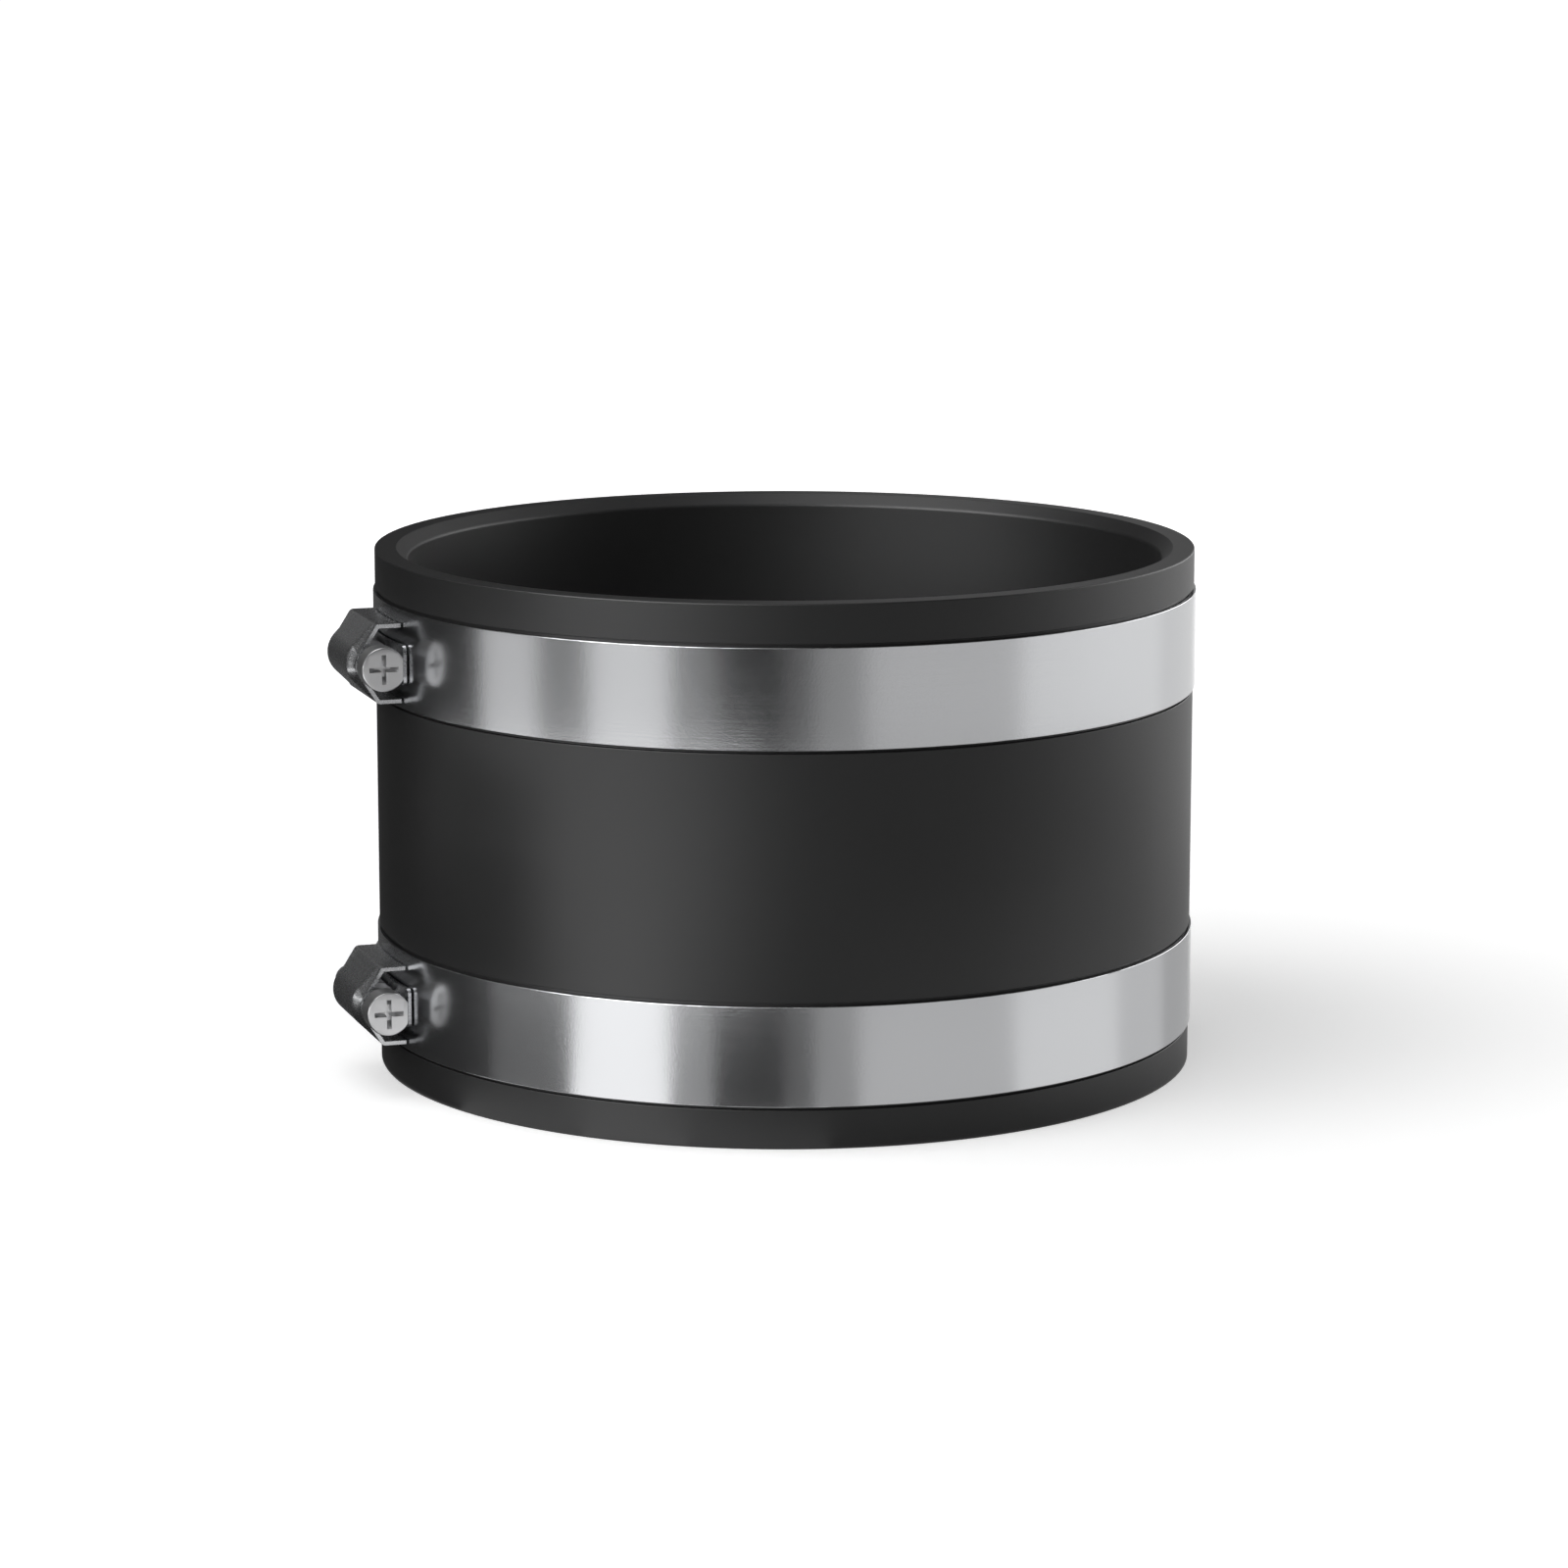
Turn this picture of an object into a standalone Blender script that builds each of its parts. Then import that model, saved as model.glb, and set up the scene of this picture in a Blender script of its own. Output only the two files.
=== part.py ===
# Rubber duct coupler for a nominal 6 inch round duct.
# A short moulded rubber sleeve slips over two duct ends, and a worm-drive band clamp
# in a shallow groove near each end draws it tight.
# The origin is the centre of the sleeve, on its axis halfway up, with +Z along the axis.
import math

import bmesh
import bpy
from mathutils import Matrix, Vector

MM = 0.001

# Rubber sleeve
DUCT_DIAMETER = 152.0 * MM        # bore, which fits over the duct collar
WALL = 6.7 * MM
SLEEVE_LENGTH = 104.8 * MM
LEAD_IN_WIDTH = 2.35 * MM         # chamfer at each mouth, measured across the rim
LEAD_IN_DEPTH = 2.2 * MM
END_LAND = 7.65 * MM              # plain rubber between each end and its groove
GROOVE_DEPTH = 0.7 * MM
GROOVE_SIDE_GAP = 0.65 * MM       # between each edge of the band and its groove
RUBBER_EDGE = 0.45 * MM           # moulded round on the outer edges
GROOVE_LIP = 0.4 * MM             # round at the top of the groove's sides

# Band and slotted strap of a clamp
SEAT_GAP = 0.3 * MM               # between a piece and what it lies on
BAND_WIDTH = 19.5 * MM
BAND_THICKNESS = 0.8 * MM
BAND_OPENING = 9.5 * MM           # closes as the clamp is tightened
OPENING_ANGLE = math.radians(-85.0)   # from the screw housing round to the opening
STRAP_WIDTH = 7.8 * MM
STRAP_OFFSET = -0.7 * MM          # the strap and screw run a little below the band's middle
STRAP_THICKNESS = 0.7 * MM
TAIL_PROJECTION = 3.0 * MM        # free end of the strap past the housing
STRAP_LAP = 24.0 * MM             # welded length past the band's opening
TAIL_CORNER = 0.8 * MM
SLOT_COUNT_BEHIND = 17            # slots on the far side of the housing's middle
SLOT_PLAY = 0.28 * MM             # on each side of the thread
SLOT_CORNER = 0.35 * MM

# Worm screw
WORM_DIAMETER = 8.4 * MM
WORM_PITCH = 3.0 * MM
THREAD_DEPTH = 1.2 * MM
THREAD_CREST = 0.6 * MM
FLANK_ANGLE = math.radians(20.0)
THREAD_ENGAGEMENT = 0.55 * MM     # how far the thread reaches into the slots
THREAD_RUNOUT = 0.7 * MM
NECK_DIAMETER = 5.8 * MM
TIP_PROJECTION = 5.8 * MM         # plain journal past the housing's far mouth
TIP_ROUND = 0.9 * MM
HEAD_STANDOFF = 2.0 * MM          # neck in sight between the housing and the head
HEAD_DIAMETER = 8.7 * MM
HEAD_LENGTH = 4.9 * MM
HEAD_EDGE = 0.15 * MM
HEAD_FLAT = 0.45 * MM             # depth of the flat on the side that faces the strap
RECESS_SPAN = 5.8 * MM            # cross recess, tip to tip
RECESS_WIDTH = 0.9 * MM
RECESS_FLOOR_SPAN = 3.2 * MM
RECESS_FLOOR_WIDTH = 0.74 * MM
RECESS_DEPTH = 1.9 * MM

# Screw housing, folded from sheet
HOUSING_ANGLE = math.radians(198.2)   # bearing of the housing round the sleeve, from +X
HOUSING_LENGTH = 22.0 * MM
HOUSING_WIDTH = 15.8 * MM
HOUSING_SHEET = 0.8 * MM
SHOULDER_HEIGHT = 4.9 * MM        # height of the side walls above the band
SHOULDER_BEND = 1.15 * MM         # outside radius of the fold
RUNNING_GAP = 0.3 * MM            # between the screw and the housing
NECKED_LENGTH = 1.1 * MM          # narrowed mouth at each end of the roof
NECK_SLOPE = 1.1 * MM             # length over which the roof narrows

# Fineness of the curves
SLEEVE_SEGMENTS = 120
STRAP_STEP = math.radians(3.0)
SCREW_SEGMENTS = 30
EDGE_POINTS = 3                   # along each small round
FOLD_POINTS = 4
ROOF_POINTS = 9
SHARP_ANGLE = math.radians(35.0)  # creases steeper than this stay sharp
MERGE_DISTANCE = 0.001 * MM
CUT_PAST = 1.0 * MM               # how far a cutter stands proud of the face it cuts

# Sizes that follow from the ones above
BORE_RADIUS = DUCT_DIAMETER / 2
SLEEVE_RADIUS = BORE_RADIUS + WALL
HALF_LENGTH = SLEEVE_LENGTH / 2
GROOVE_RADIUS = SLEEVE_RADIUS - GROOVE_DEPTH
GROOVE_WIDTH = BAND_WIDTH + 2 * GROOVE_SIDE_GAP
CLAMP_HEIGHT = HALF_LENGTH - END_LAND - GROOVE_WIDTH / 2
BAND_INNER = GROOVE_RADIUS + SEAT_GAP
BAND_OUTER = BAND_INNER + BAND_THICKNESS
STRAP_INNER = BAND_OUTER + SEAT_GAP
STRAP_OUTER = STRAP_INNER + STRAP_THICKNESS
STRAP_MIDDLE = (STRAP_INNER + STRAP_OUTER) / 2
WORM_RADIUS = WORM_DIAMETER / 2
CORE_RADIUS = WORM_RADIUS - THREAD_DEPTH
NECK_RADIUS = NECK_DIAMETER / 2
HEAD_RADIUS = HEAD_DIAMETER / 2
SCREW_HEIGHT = STRAP_OUTER - THREAD_ENGAGEMENT + WORM_RADIUS
STRAP_DROP = SCREW_HEIGHT - STRAP_OUTER
THREAD_HALF = HOUSING_LENGTH / 2 - NECKED_LENGTH - NECK_SLOPE
STRAP_TAIL = HOUSING_LENGTH / 2 + TAIL_PROJECTION
SLOT_COUNT_AHEAD = int((STRAP_TAIL - TAIL_CORNER) / WORM_PITCH - 0.5)
LEAD_SLOPE = WORM_PITCH / (2 * math.pi * STRAP_DROP)   # slant of the slots


def add_material(name, color, roughness, metallic):
    """A Principled material with the piece's colour and finish."""
    material = bpy.data.materials.new(name)
    material.use_nodes = True
    shader = material.node_tree.nodes["Principled BSDF"]
    shader.inputs["Base Color"].default_value = (*color, 1.0)
    shader.inputs["Roughness"].default_value = roughness
    shader.inputs["Metallic"].default_value = metallic
    material.diffuse_color = (*color, 1.0)
    return material


def add_object(name, bm, material, parent=None):
    """Turn a finished bmesh into a smooth-shaded object."""
    bmesh.ops.recalc_face_normals(bm, faces=bm.faces)
    mesh = bpy.data.meshes.new(name)
    bm.to_mesh(mesh)
    bm.free()
    mesh.materials.append(material)
    mesh.shade_smooth()
    mesh.set_sharp_from_angle(angle=SHARP_ANGLE)
    piece = bpy.data.objects.new(name, mesh)
    bpy.context.scene.collection.objects.link(piece)
    piece.parent = parent
    return piece


def bridge_loops(bm, loops, closed=False):
    """Skin a row of equally long vertex loops with quads."""
    count = len(loops[0])
    pairs = list(zip(loops, loops[1:]))
    if closed:
        pairs.append((loops[-1], loops[0]))
    for first, second in pairs:
        for i in range(count):
            j = (i + 1) % count
            bm.faces.new((first[i], first[j], second[j], second[i]))


def sweep_profile(profile, angles, closed):
    """Sweep a closed (radius, height) profile round the Z axis through the angles."""
    bm = bmesh.new()
    loops = []
    for angle in angles:
        turn = Matrix.Rotation(angle, 3, "Z")
        loops.append([bm.verts.new(turn @ Vector((r, 0.0, z))) for r, z in profile])
    bridge_loops(bm, loops, closed)
    if not closed:
        bm.faces.new(loops[0])
        bm.faces.new(loops[-1])
    return bm


def even_steps(start, stop, largest):
    """Values from start to stop in equal steps no larger than the largest."""
    count = max(1, math.ceil(abs(stop - start) / largest))
    return [start + (stop - start) * i / count for i in range(count + 1)]


def arc_points(center, radius, start, stop, count):
    """Points along an arc in a section plane, from the start angle to the stop angle."""
    angles = [start + (stop - start) * i / (count - 1) for i in range(count)]
    return [(center[0] + radius * math.cos(a), center[1] + radius * math.sin(a)) for a in angles]


def sleeve_profile():
    """The lower half of the wall's section from the bore outwards, then its mirror image."""
    bottom = -HALF_LENGTH
    groove_start = bottom + END_LAND
    groove_end = groove_start + GROOVE_WIDTH
    edge = RUBBER_EDGE
    lower = [(BORE_RADIUS, bottom + LEAD_IN_DEPTH), (BORE_RADIUS + LEAD_IN_WIDTH, bottom)]
    lower += arc_points((SLEEVE_RADIUS - edge, bottom + edge), edge, -math.pi / 2, 0.0, EDGE_POINTS)
    lower += [
        (SLEEVE_RADIUS, groove_start - GROOVE_LIP),
        (SLEEVE_RADIUS - GROOVE_LIP, groove_start),
        (GROOVE_RADIUS, groove_start),
        (GROOVE_RADIUS, groove_end),
        (SLEEVE_RADIUS - GROOVE_LIP, groove_end),
        (SLEEVE_RADIUS, groove_end + GROOVE_LIP),
    ]
    return lower + [(r, -z) for r, z in reversed(lower)]


def make_sleeve(material):
    step = 2 * math.pi / SLEEVE_SEGMENTS
    angles = [i * step for i in range(SLEEVE_SEGMENTS)]
    bm = sweep_profile(sleeve_profile(), angles, closed=True)
    return add_object("rubber_sleeve", bm, material)


def make_band(name, material, parent):
    """The wide plain band, an open ring with its opening under the strap."""
    half_opening = BAND_OPENING / BAND_OUTER / 2
    half_width = BAND_WIDTH / 2
    profile = [
        (BAND_INNER, -half_width),
        (BAND_OUTER, -half_width),
        (BAND_OUTER, half_width),
        (BAND_INNER, half_width),
    ]
    start = OPENING_ANGLE + half_opening
    stop = OPENING_ANGLE - half_opening + 2 * math.pi
    angles = even_steps(start, stop, 2 * math.pi / SLEEVE_SEGMENTS)
    bm = sweep_profile(profile, angles, closed=False)
    return add_object(name, bm, material, parent)


def slot_outline():
    """Corners of one slanted slot as (arc length, height), starting at its side ahead."""
    crest_chord = math.sqrt(WORM_RADIUS**2 - STRAP_DROP**2)
    half_length = crest_chord + SLOT_PLAY
    half_thread = THREAD_CREST / 2 + THREAD_ENGAGEMENT * math.tan(FLANK_ANGLE)
    half_width = half_thread + SLOT_PLAY
    corner = [
        (half_width, half_length - SLOT_CORNER),
        (half_width - SLOT_CORNER, half_length),
    ]
    outline = list(corner)
    outline += [(-s, z) for s, z in reversed(corner)]
    outline += [(-s, -z) for s, z in corner]
    outline += [(s, -z) for s, z in reversed(corner)]
    return [(s + z * LEAD_SLOPE, z) for s, z in outline]


def strap_layout():
    """The strap laid flat: points as (arc length, height), and faces round its slots."""
    half_width = STRAP_WIDTH / 2
    points = []
    faces = []

    def add_row(arc, half=half_width):
        points.extend([(arc, half), (arc, -half)])
        return len(points) - 2

    lap_end = (OPENING_ANGLE * STRAP_MIDDLE) - BAND_OPENING / 2 - STRAP_LAP
    slots_start = -(SLOT_COUNT_BEHIND + 0.5) * WORM_PITCH
    plain = even_steps(lap_end, slots_start, STRAP_STEP * STRAP_MIDDLE)
    row = add_row(plain[0])
    for arc in plain[1:]:
        ahead = add_row(arc)
        faces.append((row, row + 1, ahead + 1, ahead))
        row = ahead
    outline = slot_outline()
    for index in range(-SLOT_COUNT_BEHIND, SLOT_COUNT_AHEAD + 1):
        middle = index * WORM_PITCH
        ahead = add_row(middle + WORM_PITCH / 2)
        first = len(points)
        points.extend([(middle + s, z) for s, z in outline])
        slot = list(range(first, first + len(outline)))
        # The outline runs from the side ahead, over the top, to the side behind and back
        top_ahead, top_behind, low_behind, low_ahead = ahead, row, row + 1, ahead + 1
        faces.append((top_ahead, slot[1], slot[0]))
        faces.append((top_ahead, top_behind, slot[2], slot[1]))
        faces.append((top_behind, slot[3], slot[2]))
        faces.append((top_behind, low_behind, slot[4], slot[3]))
        faces.append((low_behind, slot[5], slot[4]))
        faces.append((low_behind, low_ahead, slot[6], slot[5]))
        faces.append((low_ahead, slot[7], slot[6]))
        faces.append((low_ahead, top_ahead, slot[0], slot[7]))
        row = ahead
    shoulder = add_row(STRAP_TAIL - TAIL_CORNER)
    tip = add_row(STRAP_TAIL, half_width - TAIL_CORNER)
    faces.append((row, row + 1, shoulder + 1, shoulder))
    faces.append((shoulder, shoulder + 1, tip + 1, tip))
    return points, faces


def make_strap(name, material, parent):
    """The narrow slotted strap, rolled round the sleeve's axis and given its thickness."""
    points, faces = strap_layout()
    bm = bmesh.new()
    layers = []
    for radius in (STRAP_INNER, STRAP_OUTER):
        layer = []
        for arc, z in points:
            angle = arc / STRAP_MIDDLE
            layer.append(bm.verts.new((radius * math.cos(angle), radius * math.sin(angle), z)))
        layers.append(layer)
    inner, outer = layers
    edge_use = {}
    for face in faces:
        bm.faces.new([outer[i] for i in face])
        bm.faces.new([inner[i] for i in reversed(face)])
        for i, j in zip(face, face[1:] + face[:1]):
            key = (min(i, j), max(i, j))
            edge_use[key] = edge_use.get(key, 0) + 1
    for (i, j), uses in edge_use.items():
        if uses == 1:
            bm.faces.new((inner[i], inner[j], outer[j], outer[i]))
    return add_object(name, bm, material, parent)


def roof_clearance(y):
    """Radius inside the rounded roof at a place along the housing: wide over the thread,
    narrow at each mouth, where it holds the screw endways."""
    wide = WORM_RADIUS + RUNNING_GAP
    narrow = NECK_RADIUS + RUNNING_GAP
    from_end = HOUSING_LENGTH / 2 - abs(y)
    share = (from_end - NECKED_LENGTH) / NECK_SLOPE
    return narrow + (wide - narrow) * min(1.0, max(0.0, share))


def housing_section(y):
    """The folded sheet's section as outside and inside points (distance from axis, height)."""
    seat = math.sqrt((BAND_OUTER + SEAT_GAP) ** 2 - y**2)
    wall = HOUSING_WIDTH / 2
    inside = roof_clearance(y)
    outside = inside + HOUSING_SHEET
    fold = (BAND_OUTER + SHOULDER_HEIGHT - SHOULDER_BEND, wall - SHOULDER_BEND)
    rise, reach = fold[0] - SCREW_HEIGHT, fold[1]
    span = math.hypot(rise, reach)
    # Direction square to the sloping shoulder, which touches both rounds
    slope = math.atan2(reach, rise) - math.acos((outside - SHOULDER_BEND) / span)
    skins = []
    for offset in (0.0, HOUSING_SHEET):
        half = arc_points(fold, SHOULDER_BEND - offset, math.pi / 2, slope, FOLD_POINTS)
        roof = arc_points((SCREW_HEIGHT, 0.0), outside - offset, slope, -slope, ROOF_POINTS)
        other = [(x, -z) for x, z in reversed(half)]
        skins.append([(seat, wall - offset)] + half + roof + other + [(seat, offset - wall)])
    return skins


def make_housing(name, material, parent):
    """Loft the folded sheet along the screw, from the far mouth to the head's side."""
    half = HOUSING_LENGTH / 2
    narrow = half - NECKED_LENGTH
    wide = narrow - NECK_SLOPE
    stations = [-half, -narrow, -wide, -wide / 2, 0.0, wide / 2, wide, narrow, half]
    bm = bmesh.new()
    loops = []
    for y in stations:
        outside, inside = housing_section(y)
        section = outside + inside[::-1]
        loops.append([bm.verts.new((x, y, z)) for x, z in section])
    bridge_loops(bm, loops)
    count = len(loops[0])
    for loop in (loops[0], loops[-1]):
        for i in range(count // 2 - 1):
            bm.faces.new((loop[i], loop[i + 1], loop[count - 2 - i], loop[count - 1 - i]))
    return add_object(name, bm, material, parent)


def thread_lines():
    """Places of the thread's fold lines along one pitch, as (offset, share of its depth)."""
    crest = THREAD_CREST / 2
    foot = crest + THREAD_DEPTH * math.tan(FLANK_ANGLE)
    return [(-foot, 0.0), (-crest, 1.0), (crest, 1.0), (foot, 0.0)]


def add_thread(bm):
    """A right-hand thread as a grid that follows the helix, faded into the core at its ends.

    A crest faces the strap at the middle of the thread.
    """
    half = THREAD_HALF
    turns = math.ceil(half / WORM_PITCH) + 1
    lines = []
    for turn in range(-turns - 1, turns + 1):
        middle = (turn + 0.5) * WORM_PITCH
        lines += [(middle + offset, share) for offset, share in thread_lines()]
    grid = []
    for column in range(SCREW_SEGMENTS + 1):
        turn = column / SCREW_SEGMENTS
        angle = 2 * math.pi * turn
        row = []
        for offset, share in lines:
            z = min(half, max(-half, offset + WORM_PITCH * turn))
            fade = min(1.0, (half - abs(z)) / THREAD_RUNOUT)
            radius = CORE_RADIUS + THREAD_DEPTH * share * fade
            row.append(bm.verts.new((radius * math.cos(angle), radius * math.sin(angle), z)))
        grid.append(row)
    for left, right in zip(grid, grid[1:]):
        for i in range(len(lines) - 1):
            bm.faces.new((left[i], right[i], right[i + 1], left[i + 1]))
    # The last column lies on the first, one pitch on, so merging closes the helix
    bmesh.ops.remove_doubles(bm, verts=bm.verts, dist=MERGE_DISTANCE)


def ring(bm, radius, z, flat_at):
    """A turned ring, cut off square at the flat that faces the strap."""
    step = 2 * math.pi / SCREW_SEGMENTS
    angles = [i * step for i in range(SCREW_SEGMENTS)]
    points = [(radius * math.cos(a), radius * math.sin(a)) for a in angles]
    return [bm.verts.new((max(x, -flat_at), y, z)) for x, y in points]


def add_shank(bm, profile):
    """Turned rings from the thread's end outwards, closed by a flat face."""
    flat_at = HEAD_RADIUS - HEAD_FLAT
    loops = [ring(bm, radius, z, flat_at) for radius, z in profile]
    bridge_loops(bm, loops)
    bm.faces.new(loops[-1])


def make_recess_cutter(name, head_end, parent):
    """A tapered cross that cuts the driver recess into the head."""
    bm = bmesh.new()
    loops = []
    levels = [
        (head_end + CUT_PAST, RECESS_SPAN, RECESS_WIDTH),
        (head_end, RECESS_SPAN, RECESS_WIDTH),
        (head_end - RECESS_DEPTH, RECESS_FLOOR_SPAN, RECESS_FLOOR_WIDTH),
    ]
    for z, span, width in levels:
        reach = span / 2
        half = width / 2
        wing = [(reach, -half), (reach, half), (half, half)]
        loop = []
        for quarter in range(4):
            turn = Matrix.Rotation(quarter * math.pi / 2, 3, "Z")
            loop += [bm.verts.new(turn @ Vector((x, y, z))) for x, y in wing]
        loops.append(loop)
    bridge_loops(bm, loops)
    bm.faces.new(loops[0])
    bm.faces.new(loops[-1])
    bmesh.ops.recalc_face_normals(bm, faces=bm.faces)
    mesh = bpy.data.meshes.new(name)
    bm.to_mesh(mesh)
    bm.free()
    cutter = bpy.data.objects.new(name, mesh)
    bpy.context.scene.collection.objects.link(cutter)
    cutter.parent = parent
    cutter.hide_render = True
    cutter.display_type = "WIRE"
    return cutter


def make_screw(name, material, parent):
    """The worm screw, modelled along its own Z axis, with its head at +Z."""
    tip_end = -HOUSING_LENGTH / 2 - TIP_PROJECTION
    head_start = HOUSING_LENGTH / 2 + HEAD_STANDOFF
    head_end = head_start + HEAD_LENGTH
    tip_center = (NECK_RADIUS - TIP_ROUND, tip_end + TIP_ROUND)
    bm = bmesh.new()
    add_thread(bm)
    tip_profile = [(CORE_RADIUS, -THREAD_HALF), (NECK_RADIUS, -THREAD_HALF)]
    tip_profile += arc_points(tip_center, TIP_ROUND, 0.0, -math.pi / 2, FOLD_POINTS)
    head_profile = [
        (CORE_RADIUS, THREAD_HALF),
        (NECK_RADIUS, THREAD_HALF),
        (NECK_RADIUS, head_start),
        (HEAD_RADIUS - HEAD_EDGE, head_start),
        (HEAD_RADIUS, head_start + HEAD_EDGE),
        (HEAD_RADIUS, head_end - HEAD_EDGE),
        (HEAD_RADIUS - HEAD_EDGE, head_end),
    ]
    add_shank(bm, tip_profile)
    add_shank(bm, head_profile)
    bmesh.ops.remove_doubles(bm, verts=bm.verts, dist=MERGE_DISTANCE)
    screw = add_object(name, bm, material, parent)
    screw.location = (SCREW_HEIGHT, 0.0, 0.0)
    screw.rotation_euler = (-math.pi / 2, 0.0, 0.0)
    cutter = make_recess_cutter(name + "_recess", head_end, screw)
    recess = screw.modifiers.new("recess", "BOOLEAN")
    recess.operation = "DIFFERENCE"
    recess.object = cutter
    return screw


def make_clamp(side, height, steel, plated):
    """One clamp on its own empty: X points out through the housing, Y towards the head."""
    frame = bpy.data.objects.new(side + "_clamp", None)
    bpy.context.scene.collection.objects.link(frame)
    frame.location = (0.0, 0.0, height)
    frame.rotation_euler = (0.0, 0.0, HOUSING_ANGLE)
    make_band(side + "_band", steel, frame)
    drive = [
        make_strap(side + "_strap", steel, frame),
        make_housing(side + "_housing", steel, frame),
        make_screw(side + "_screw", plated, frame),
    ]
    for piece in drive:
        piece.location.z = STRAP_OFFSET


for old in list(bpy.data.objects):
    bpy.data.objects.remove(old, do_unlink=True)

rubber = add_material("black_rubber", (0.035, 0.035, 0.037), 0.6, 0.0)
steel = add_material("stainless_steel", (0.56, 0.56, 0.57), 0.3, 1.0)
plated = add_material("plated_screw_steel", (0.62, 0.62, 0.62), 0.35, 1.0)
make_sleeve(rubber)
make_clamp("upper", CLAMP_HEIGHT, steel, plated)
make_clamp("lower", -CLAMP_HEIGHT, steel, plated)
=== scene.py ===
import math

import bmesh
import bpy
from mathutils import Matrix, Vector


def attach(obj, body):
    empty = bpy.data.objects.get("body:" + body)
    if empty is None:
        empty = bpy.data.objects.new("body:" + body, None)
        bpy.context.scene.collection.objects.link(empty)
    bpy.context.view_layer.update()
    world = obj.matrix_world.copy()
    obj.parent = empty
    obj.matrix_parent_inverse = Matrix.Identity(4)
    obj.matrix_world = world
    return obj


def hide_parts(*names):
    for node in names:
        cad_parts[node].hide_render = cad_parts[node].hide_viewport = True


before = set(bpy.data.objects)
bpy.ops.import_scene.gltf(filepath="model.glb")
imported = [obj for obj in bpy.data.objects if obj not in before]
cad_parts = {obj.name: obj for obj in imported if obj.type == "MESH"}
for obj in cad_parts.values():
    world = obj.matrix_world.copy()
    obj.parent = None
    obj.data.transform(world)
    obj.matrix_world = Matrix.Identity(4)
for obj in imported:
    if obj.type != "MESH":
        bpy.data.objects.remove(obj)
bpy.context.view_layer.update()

# The camera stands level with a person looking slightly down at a shelf, about a metre away,
# with a long lens, as for a catalogue picture.
MM = 0.001
LENS = 116.68
SENSOR = 36.0
CAMERA_PLACE = Vector((-0.1 * MM, -1018.96 * MM, 194.1 * MM))
CAMERA_AIM = Vector((-0.1 * MM, 0.0, 2.8 * MM))

camera = bpy.data.objects.new("catalogue_camera", bpy.data.cameras.new("catalogue_camera"))
bpy.context.scene.collection.objects.link(camera)
camera.data.lens = LENS
camera.data.sensor_width = SENSOR
camera.location = CAMERA_PLACE
camera.rotation_euler = (CAMERA_AIM - CAMERA_PLACE).to_track_quat("-Z", "Y").to_euler()
bpy.context.scene.camera = camera


# Rubber sleeve: one compression moulding in black EPDM. Each mouth has a lead-in chamfer so
# that the duct starts easily, and a shallow groove near each end keeps the band in place.
BORE_RADIUS = 76.0 * MM
SLEEVE_RADIUS = 82.7 * MM
HALF_LENGTH = 52.4 * MM
LEAD_IN_WIDTH = 2.35 * MM
LEAD_IN_DEPTH = 2.2 * MM
GROOVE_RADIUS = 82.0 * MM
END_LAND = 7.65 * MM
GROOVE_WIDTH = 20.8 * MM
GROOVE_START = HALF_LENGTH - END_LAND
GROOVE_END = GROOVE_START - GROOVE_WIDTH
OUTER_ROUND = 0.3 * MM
SMALL_ROUND = 0.2 * MM
LEAD_IN_ROUND = 1.0 * MM
ROUND_STEPS = 4
SLEEVE_STEPS = 360
SHARP_ANGLE = math.radians(30.0)
BEVEL_ANGLE = math.radians(40.0)
BEVEL_SEGMENTS = 2
EPDM_BLACK = "#131314"
EPDM_DUSTY = "#1C1C1D"
DUST_CLOUD = 22.2 * MM
MOULD_GRIT = 0.25 * MM


def linear(hex_color):
    """The linear colour of an sRGB hex value, with full alpha."""
    parts = [int(hex_color[i:i + 2], 16) / 255 for i in (1, 3, 5)]
    return (*[p / 12.92 if p <= 0.04045 else ((p + 0.055) / 1.055) ** 2.4 for p in parts], 1.0)


def add_node(tree, kind, inputs, **settings):
    """Add a node, set its own settings, and set or link its inputs."""
    node = tree.nodes.new("ShaderNode" + kind)
    for name, value in settings.items():
        setattr(node, name, value)
    for name, value in inputs.items():
        if isinstance(value, bpy.types.NodeSocket):
            tree.links.new(value, node.inputs[name])
        else:
            node.inputs[name].default_value = value
    return node


def round_corners(corners, steps):
    """Round the corners, each (x, y, radius), of a closed outline with short arcs."""
    outline = []
    for index, (x, y, radius) in enumerate(corners):
        point = Vector((x, y))
        before = (Vector(corners[index - 1][:2]) - point).normalized()
        after = (Vector(corners[(index + 1) % len(corners)][:2]) - point).normalized()
        half = before.angle(after) / 2
        center = point + (before + after).normalized() * radius / math.sin(half)
        start = point + before * radius / math.tan(half) - center
        stop = point + after * radius / math.tan(half) - center
        turn = start.angle(stop)
        for step in range(steps + 1):
            share = step / steps
            arm = start * math.sin((1 - share) * turn) + stop * math.sin(share * turn)
            outline.append(tuple(center + arm / math.sin(turn)))
    return outline


def skin(bm, loops, closed):
    """Join a row of equally long loops of vertices with quads."""
    pairs = list(zip(loops, loops[1:])) + ([(loops[-1], loops[0])] if closed else [])
    for first, second in pairs:
        for i in range(len(first)):
            j = (i + 1) % len(first)
            bm.faces.new((first[i], first[j], second[j], second[i]))


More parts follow.
